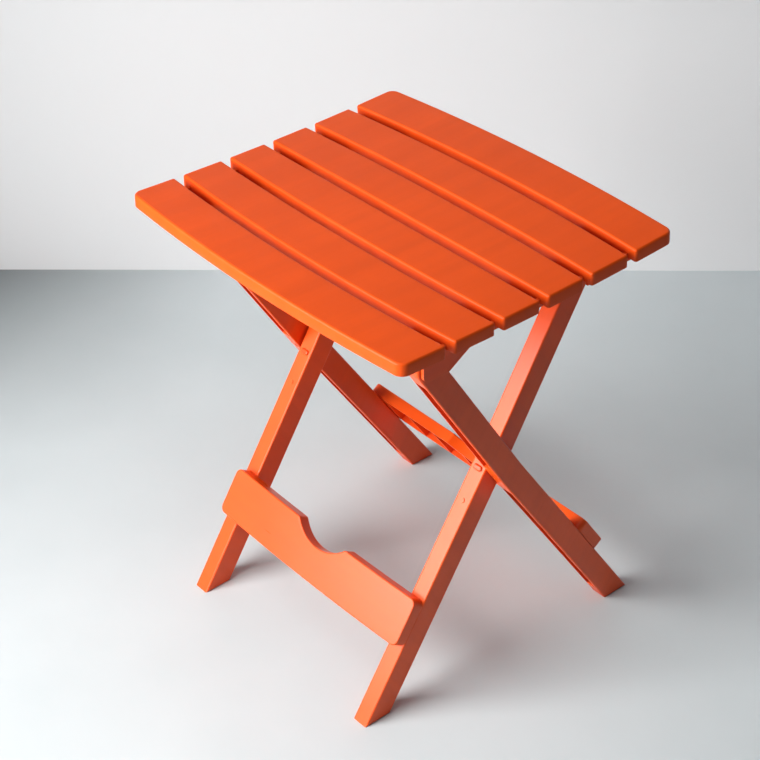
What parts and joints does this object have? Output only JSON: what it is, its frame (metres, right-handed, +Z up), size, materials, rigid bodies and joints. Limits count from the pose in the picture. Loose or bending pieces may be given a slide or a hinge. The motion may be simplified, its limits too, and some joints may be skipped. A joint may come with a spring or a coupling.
{
  "type": "folding tray table",
  "caption": "Folding side table with a bowed slatted top on two nested crossed leg frames; the top lifts on a hinge and the legs swing together.",
  "frame": {"origin": "on the floor, under the middle of the table top", "axes": "+X along the slats, +Y from the front slat to the rear slat, +Z up"},
  "size_m": [0.437, 0.3848, 0.5017],
  "materials": {
    "top_plastic": "satin moulded resin, reddish orange",
    "frame_plastic": "satin moulded resin, reddish orange",
    "pin_plastic": "satin moulded resin, a little darker"
  },
  "bodies": {
    "outer_frame": {"outer_left_leg": "frame_plastic", "outer_right_leg": "frame_plastic", "rear_brace": "frame_plastic"},
    "inner_frame": {"inner_left_leg": "frame_plastic", "inner_right_leg": "frame_plastic", "front_brace": "frame_plastic", "left_pivot_pin": "pin_plastic", "right_pivot_pin": "pin_plastic", "pivot_lock_pegs": "pin_plastic"},
    "tabletop": {"slat_1": "top_plastic", "slat_2": "top_plastic", "slat_3": "top_plastic", "slat_4": "top_plastic", "slat_5": "top_plastic", "slat_6": "top_plastic", "left_rail": "top_plastic", "right_rail": "top_plastic", "left_rest_block": "top_plastic", "right_rest_block": "top_plastic", "left_hinge_pin": "pin_plastic", "right_hinge_pin": "pin_plastic"}
  },
  "joints": [
    {"name": "table_lift", "type": "hinge", "parent": "outer_frame", "child": "tabletop", "pos_m": [0, -0.11488, 0.448], "axis": [1, 0, 0], "range_deg": [0, 121]},
    {"name": "leg_fold", "type": "hinge", "parent": "outer_frame", "child": "inner_frame", "pos_m": [0, 0, 0.262], "axis": [1, 0, 0], "range_deg": [0, 63]}
  ]
}
